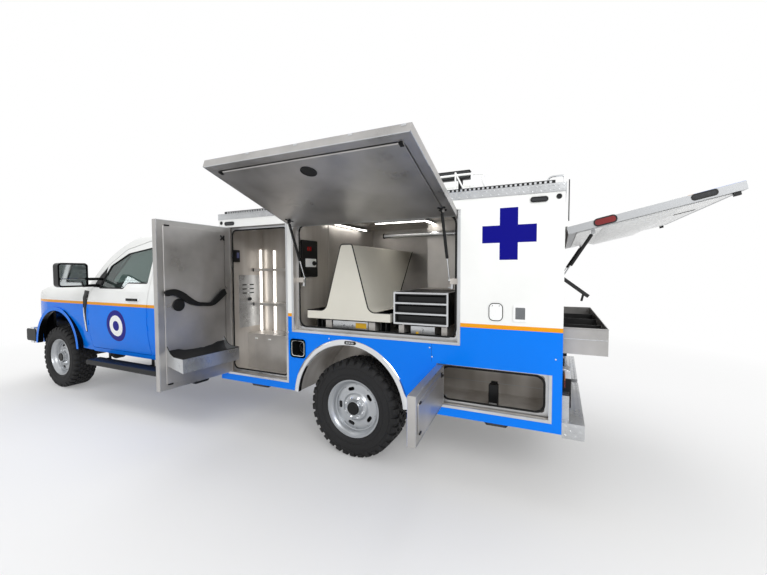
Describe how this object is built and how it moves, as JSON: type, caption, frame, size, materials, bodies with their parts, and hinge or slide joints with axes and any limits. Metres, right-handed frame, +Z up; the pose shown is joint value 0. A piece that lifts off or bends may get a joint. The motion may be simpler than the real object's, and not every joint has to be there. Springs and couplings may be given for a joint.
{
  "type": "four-wheel-drive crew-cab ambulance with a compartment body",
  "caption": "Crew-cab 4x4 ambulance truck with a white and blue aluminium compartment body, its side doors and rear hatch standing open on gas struts.",
  "frame": {"origin": "on the floor under the middle of the whole vehicle with its doors open", "axes": "+X forward, +Y to the vehicle's left, +Z up"},
  "size_m": [8.031, 3.8888, 2.2826],
  "materials": {
    "body_paint": "satin two-tone paint",
    "cab_paint": "gloss two-tone paint",
    "door_alloy": "brushed",
    "inner_alloy": "brushed",
    "plate": "diamond plate",
    "steel": "chassis black",
    "cast": "cast",
    "wheel_steel": "silver wheel paint",
    "bright": "polished",
    "tyre_rubber": "matte",
    "black_plastic": "grained",
    "grey_cloth": "woven",
    "window": "tinted",
    "lamp": "clear lens",
    "head_lens": "clear lens"
  },
  "bodies": {
    "truck": {"body_trim": "plate", "cab_glass": "window", "cab_shell": "cab_paint", "chassis_frame": "steel", "dashboard": "black_plastic", "driveline": "cast", "engine_block": "cast", "exhaust": "inner_alloy", "front_axle": "cast", "front_bumper": "bright", "front_fenders": "cab_paint", "fuel_tank": "steel", "grille": "bright", "head_lamps": "head_lens", "locker_shelves": "inner_alloy", "marker_lamps": "lamp", "rear_axle": "cast", "rear_bumper": "plate", "roof_lights": "black_plastic", "roof_rack": "body_paint", "running_boards": "black_plastic", "seats": "grey_cloth", "service_body": "body_paint", "slide_rails": "inner_alloy"},
    "wheel_rear_left": {"tyre_rear_left": "tyre_rubber", "rim_rear_left": "wheel_steel"},
    "knuckle_left": {"knuckle_left": "cast"},
    "wheel_front_left": {"tyre_front_left": "tyre_rubber", "rim_front_left": "wheel_steel"},
    "cab_door_front_left": {"cab_door_front_left": "cab_paint", "glass_front_left": "window"},
    "cab_door_rear_left": {"cab_door_rear_left": "cab_paint", "glass_rear_left": "window"},
    "lift_door_left": {"lift_door_left": "door_alloy"},
    "front_locker_door_left": {"front_locker_door_left": "door_alloy"},
    "rear_locker_door_left": {"rear_locker_door_left": "door_alloy"},
    "lift_strut_tubes_left": {"lift_strut_tubes_left": "black_plastic"},
    "lift_strut_rods_left": {"lift_strut_rods_left": "bright"},
    "wheel_rear_right": {"tyre_rear_right": "tyre_rubber", "rim_rear_right": "wheel_steel"},
    "knuckle_right": {"knuckle_right": "cast"},
    "wheel_front_right": {"tyre_front_right": "tyre_rubber", "rim_front_right": "wheel_steel"},
    "cab_door_front_right": {"cab_door_front_right": "cab_paint", "glass_front_right": "window"},
    "cab_door_rear_right": {"cab_door_rear_right": "cab_paint", "glass_rear_right": "window"},
    "lift_door_right": {"lift_door_right": "door_alloy"},
    "front_locker_door_right": {"front_locker_door_right": "door_alloy"},
    "rear_locker_door_right": {"rear_locker_door_right": "door_alloy"},
    "lift_strut_tubes_right": {"lift_strut_tubes_right": "black_plastic"},
    "lift_strut_rods_right": {"lift_strut_rods_right": "bright"},
    "hood": {"hood": "cab_paint"},
    "rear_hatch": {"rear_hatch": "door_alloy"},
    "hatch_strut_tubes": {"hatch_strut_tubes": "black_plastic"},
    "hatch_strut_rods": {"hatch_strut_rods": "bright"},
    "rear_drawer": {"rear_drawer": "inner_alloy"},
    "hump_tray": {"hump_tray": "inner_alloy"},
    "drawer_cabinet": {"drawer_cabinet": "inner_alloy"}
  },
  "joints": [
    {"name": "wheel_rear_left", "type": "hinge", "parent": "truck", "child": "wheel_rear_left", "pos_m": [-1.52752, 0.8535, 0.41127], "axis": [0, 1, 0], "continuous": true},
    {"name": "steer_left", "type": "hinge", "parent": "truck", "child": "knuckle_left", "pos_m": [3.03948, 0.7455, 0.41127], "axis": [0, 0, 1], "range_deg": [-35, 35]},
    {"name": "wheel_front_left", "type": "hinge", "parent": "knuckle_left", "child": "wheel_front_left", "pos_m": [3.03948, 0.8675, 0.41127], "axis": [0, 1, 0], "continuous": true},
    {"name": "cab_door_front_left", "type": "hinge", "parent": "truck", "child": "cab_door_front_left", "pos_m": [2.27748, 1.015, 1], "axis": [0, 0, -1], "range_deg": [0, 65]},
    {"name": "cab_door_rear_left", "type": "hinge", "parent": "truck", "child": "cab_door_rear_left", "pos_m": [1.10242, 1.015, 1], "axis": [0, 0, -1], "range_deg": [0, 65]},
    {"name": "lift_door_left", "type": "hinge", "parent": "truck", "child": "lift_door_left", "pos_m": [-1.52752, 1.05, 1.99], "axis": [1, 0, 0], "range_deg": [-108.4, 0]},
    {"name": "front_locker_door_left", "type": "hinge", "parent": "truck", "child": "front_locker_door_left", "pos_m": [-0.19652, 1.05, 1.2925], "axis": [0, 0, -1], "range_deg": [-92, 0]},
    {"name": "rear_locker_door_left", "type": "hinge", "parent": "truck", "child": "rear_locker_door_left", "pos_m": [-2.28552, 1.05, 0.7475], "axis": [0, 0, -1], "range_deg": [-85.4, 0]},
    {"name": "lift_strut_swing_left", "type": "hinge", "parent": "lift_door_left", "child": "lift_strut_tubes_left", "pos_m": [-1.52752, 1.19102, 1.96841], "axis": [1, 0, 0], "range_deg": [0, 132.14]},
    {"name": "lift_strut_slide_left", "type": "slide", "parent": "lift_strut_tubes_left", "child": "lift_strut_rods_left", "axis": [0, -0.4026, -0.9154], "range_m": [-0.14872, 0]},
    {"name": "wheel_rear_right", "type": "hinge", "parent": "truck", "child": "wheel_rear_right", "pos_m": [-1.52752, -0.8535, 0.41127], "axis": [0, 1, 0], "continuous": true},
    {"name": "steer_right", "type": "hinge", "parent": "truck", "child": "knuckle_right", "pos_m": [3.03948, -0.7455, 0.41127], "axis": [0, 0, 1], "range_deg": [-35, 35]},
    {"name": "wheel_front_right", "type": "hinge", "parent": "knuckle_right", "child": "wheel_front_right", "pos_m": [3.03948, -0.8675, 0.41127], "axis": [0, 1, 0], "continuous": true},
    {"name": "cab_door_front_right", "type": "hinge", "parent": "truck", "child": "cab_door_front_right", "pos_m": [2.27748, -1.015, 1], "axis": [0, 0, 1], "range_deg": [0, 65]},
    {"name": "cab_door_rear_right", "type": "hinge", "parent": "truck", "child": "cab_door_rear_right", "pos_m": [1.10242, -1.015, 1], "axis": [0, 0, 1], "range_deg": [0, 65]},
    {"name": "lift_door_right", "type": "hinge", "parent": "truck", "child": "lift_door_right", "pos_m": [-1.52752, -1.05, 1.99], "axis": [-1, 0, 0], "range_deg": [-108.4, 0]},
    {"name": "front_locker_door_right", "type": "hinge", "parent": "truck", "child": "front_locker_door_right", "pos_m": [-0.19652, -1.05, 1.2925], "axis": [0, 0, 1], "range_deg": [-92, 0]},
    {"name": "rear_locker_door_right", "type": "hinge", "parent": "truck", "child": "rear_locker_door_right", "pos_m": [-2.28552, -1.05, 0.7475], "axis": [0, 0, 1], "range_deg": [-85.4, 0]},
    {"name": "lift_strut_swing_right", "type": "hinge", "parent": "lift_door_right", "child": "lift_strut_tubes_right", "pos_m": [-1.52752, -1.19102, 1.96841], "axis": [-1, 0, 0], "range_deg": [0, 132.14]},
    {"name": "lift_strut_slide_right", "type": "slide", "parent": "lift_strut_tubes_right", "child": "lift_strut_rods_right", "axis": [0, 0.4026, -0.9154], "range_m": [-0.14872, 0]},
    {"name": "hood", "type": "hinge", "parent": "truck", "child": "hood", "pos_m": [2.42548, 0, 1.42], "axis": [0, -1, 0], "range_deg": [0, 48]},
    {"name": "rear_hatch", "type": "hinge", "parent": "truck", "child": "rear_hatch", "pos_m": [-3.11752, 0, 1.85], "axis": [0, 1, 0], "range_deg": [-103.4, 0]},
    {"name": "hatch_strut_swing", "type": "hinge", "parent": "rear_hatch", "child": "hatch_strut_tubes", "pos_m": [-3.27554, 0, 1.81671], "axis": [0, 1, 0], "range_deg": [0, 133.22]},
    {"name": "hatch_strut_slide", "type": "slide", "parent": "hatch_strut_tubes", "child": "hatch_strut_rods", "axis": [0.5161, 0, -0.8565], "range_m": [-0.17742, 0]},
    {"name": "rear_drawer", "type": "slide", "parent": "truck", "child": "rear_drawer", "axis": [-1, 0, 0], "range_m": [-0.32, 0]},
    {"name": "hump_tray", "type": "slide", "parent": "truck", "child": "hump_tray", "axis": [0, 1, 0], "range_m": [0, 0.6]},
    {"name": "drawer_cabinet", "type": "slide", "parent": "truck", "child": "drawer_cabinet", "axis": [0, 1, 0], "range_m": [0, 0.4]}
  ],
  "couplings": [
    {"joint": "lift_strut_swing_left", "follows": "lift_door_left", "ratio": -1.219},
    {"joint": "lift_strut_slide_left", "follows": "lift_door_left", "m_per_rad": 0.078606},
    {"joint": "lift_strut_swing_right", "follows": "lift_door_right", "ratio": -1.219},
    {"joint": "lift_strut_slide_right", "follows": "lift_door_right", "m_per_rad": 0.078606},
    {"joint": "steer_right", "follows": "steer_left", "ratio": 1},
    {"joint": "hatch_strut_swing", "follows": "rear_hatch", "ratio": -1.2884},
    {"joint": "hatch_strut_slide", "follows": "rear_hatch", "m_per_rad": 0.098314},
    {"joint": "rear_drawer", "follows": "rear_hatch", "m_per_rad": 0.17732}
  ]
}
